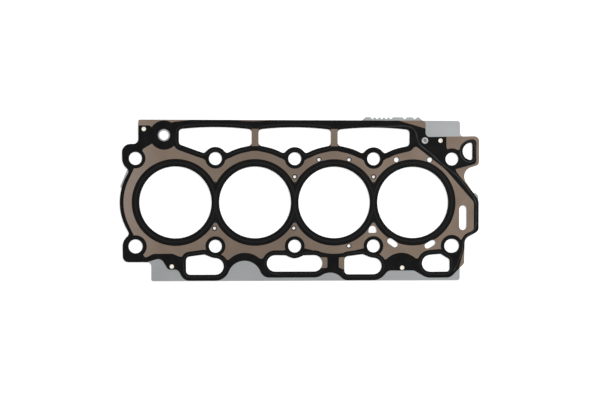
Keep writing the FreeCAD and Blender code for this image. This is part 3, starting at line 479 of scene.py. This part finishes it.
def middlesOf(node):
    # the centres, in metres, of the separate solids in a node
    mesh = bmesh.new()
    mesh.from_mesh(nodes[node].data)
    bmesh.ops.remove_doubles(mesh, verts=mesh.verts, dist=1e-6)
    left = set(mesh.verts)
    middles = []
    while left:
        island, edge = set(), [left.pop()]
        while edge:
            corner = edge.pop()
            island.add(corner)
            for line in corner.link_edges:
                other = line.other_vert(corner)
                if other in left:
                    left.discard(other)
                    edge.append(other)
        xs, ys = [c.co.x for c in island], [c.co.y for c in island]
        middles.append(((min(xs) + max(xs)) / 2, (min(ys) + max(ys)) / 2))
    mesh.free()
    return sorted(middles)


def turnedPiece(name, section, places, finish, node, closed):
    # the section turned round an upright axis at each place, closed where it comes back to its start
    steps = turning["steps"]
    corners, faces = [], []
    for x, y in places:
        first = len(corners)
        for step in range(steps):
            turn = 2 * math.pi * step / steps
            corners += [(x + r * mm * math.cos(turn), y + r * mm * math.sin(turn), z * mm)
                        for r, z in section]
        count = len(section)
        for step in range(steps):
            here, there = first + step * count, first + (step + 1) % steps * count
            for i in range(count if closed else count - 1):
                j = (i + 1) % count
                faces.append((here + i, here + j, there + j, there + i))
    data = bpy.data.meshes.new(name)
    data.from_pydata(corners, [], faces)
    mesh = bmesh.new()
    mesh.from_mesh(data)
    bmesh.ops.remove_doubles(mesh, verts=mesh.verts, dist=1e-7)
    bmesh.ops.recalc_face_normals(mesh, faces=mesh.faces)
    for face in mesh.faces:
        face.smooth = True
    mesh.to_mesh(data)
    mesh.free()
    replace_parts(addPiece(name, data, finish), node)


def turnedFinish(name, look, shadeRings=()):
    # painted shade darkens each ring, given by its middle and its two radii in mm
    finish, tree, skin = newFinish(name)
    grain = cloudy(tree, turning["grain"], detail=3, roughness=0.6)
    colour = mixColour(tree, spread(tree, grain, 0, 1), look["base"], look["pale"])
    for x, y, inner, outer in shadeRings:
        ring = calculate(tree, "SUBTRACT", nearPlaces(tree, [(x, y, outer)]),
                         nearPlaces(tree, [(x, y, inner)]))
        shade = calculate(tree, "MULTIPLY", ring, look["shadeMost"])
        colour = mixColour(tree, shade, colour, look["shade"])
    setSurface(tree, skin, colour, grain, grain, {**turning, **look})
    return finish


turnedPiece("rolledEyelets", eyelet["section"], middlesOf("layer_eyelets"),
            turnedFinish("eyeletMetal", eyelet), "layer_eyelets", True)
rivetPlaces = middlesOf("tab_rivet")
# painted shade: dark rings on the rivet's dimple and rim
rivetShadeRings = [(x / mm, y / mm, *radii) for x, y in rivetPlaces for radii in rivet["shadeRadii"]]
turnedPiece("dimpledRivet", rivet["section"], rivetPlaces,
            turnedFinish("rivetSteel", rivet, rivetShadeRings), "tab_rivet", False)
print("eyelets and rivet turned")


# floor, light and camera, in metres and degrees

studio = {"floorSize": 30.0, "floorDrop": 0.00002, "floorShade": 0.86, "whiteLift": 0.4,
          "skyStrength": 0.72, "lampPlace": (1.2, 0.9, 1.3), "lampSize": 1.2, "lampPower": 22}


def layFloor():
    height = packedLow.z - studio["floorDrop"]
    bpy.ops.mesh.primitive_plane_add(size=studio["floorSize"], location=(0, 0, height))
    floor = bpy.context.active_object
    floor.name = "paleFloor"
    finish = bpy.data.materials.new("paleFloor")
    finish.use_nodes = True
    tree = finish.node_tree
    tree.nodes.clear()
    out = tree.nodes.new("ShaderNodeOutputMaterial")
    matt = addNode(tree, "BsdfDiffuse", {"Color": (*[studio["floorShade"]] * 3, 1)})
    rays = addNode(tree, "LightPath")
    seen = calculate(tree, "MAXIMUM", rays.outputs["Is Camera Ray"], rays.outputs["Is Glossy Ray"])
    seen = calculate(tree, "MAXIMUM", seen, rays.outputs["Is Transmission Ray"])
    lift = calculate(tree, "MULTIPLY", seen, studio["whiteLift"])
    glow = addNode(tree, "Emission", {"Color": (1, 1, 1, 1), "Strength": lift})
    both = addNode(tree, "AddShader", {0: matt.outputs[0], 1: glow.outputs[0]})
    tree.links.new(both.outputs[0], out.inputs["Surface"])
    floor.data.materials.append(finish)


def lightStudio():
    world = bpy.data.worlds.new("softRoom")
    bpy.context.scene.world = world
    world.use_nodes = True
    sky = world.node_tree.nodes["Background"]
    sky.inputs["Color"].default_value = (1, 1, 1, 1)
    sky.inputs["Strength"].default_value = studio["skyStrength"]
    data = bpy.data.lights.new("softLamp", "AREA")
    data.size = studio["lampSize"]
    data.energy = studio["lampPower"]
    lamp = bpy.data.objects.new("softLamp", data)
    lamp.location = studio["lampPlace"]
    lamp.rotation_euler = (-lamp.location).to_track_quat("-Z", "Y").to_euler()
    bpy.context.scene.collection.objects.link(lamp)


view = {"place": (-0.03238, 0.01533, 0.95634), "turn": (-0.7644, -2.2767, 0.0402),
        "lens": 54, "sensor": 36}  # the last two in mm


def placeCamera():
    data = bpy.data.cameras.new("overheadCamera")
    data.lens = view["lens"]
    data.sensor_width = view["sensor"]
    camera = bpy.data.objects.new("overheadCamera", data)
    camera.location = view["place"]
    camera.rotation_euler = [math.radians(angle) for angle in view["turn"]]
    bpy.context.scene.collection.objects.link(camera)
    bpy.context.scene.camera = camera


layFloor()
lightStudio()
placeCamera()
bpy.context.scene.view_settings.view_transform = "Standard"
print("floor, light and camera in place")
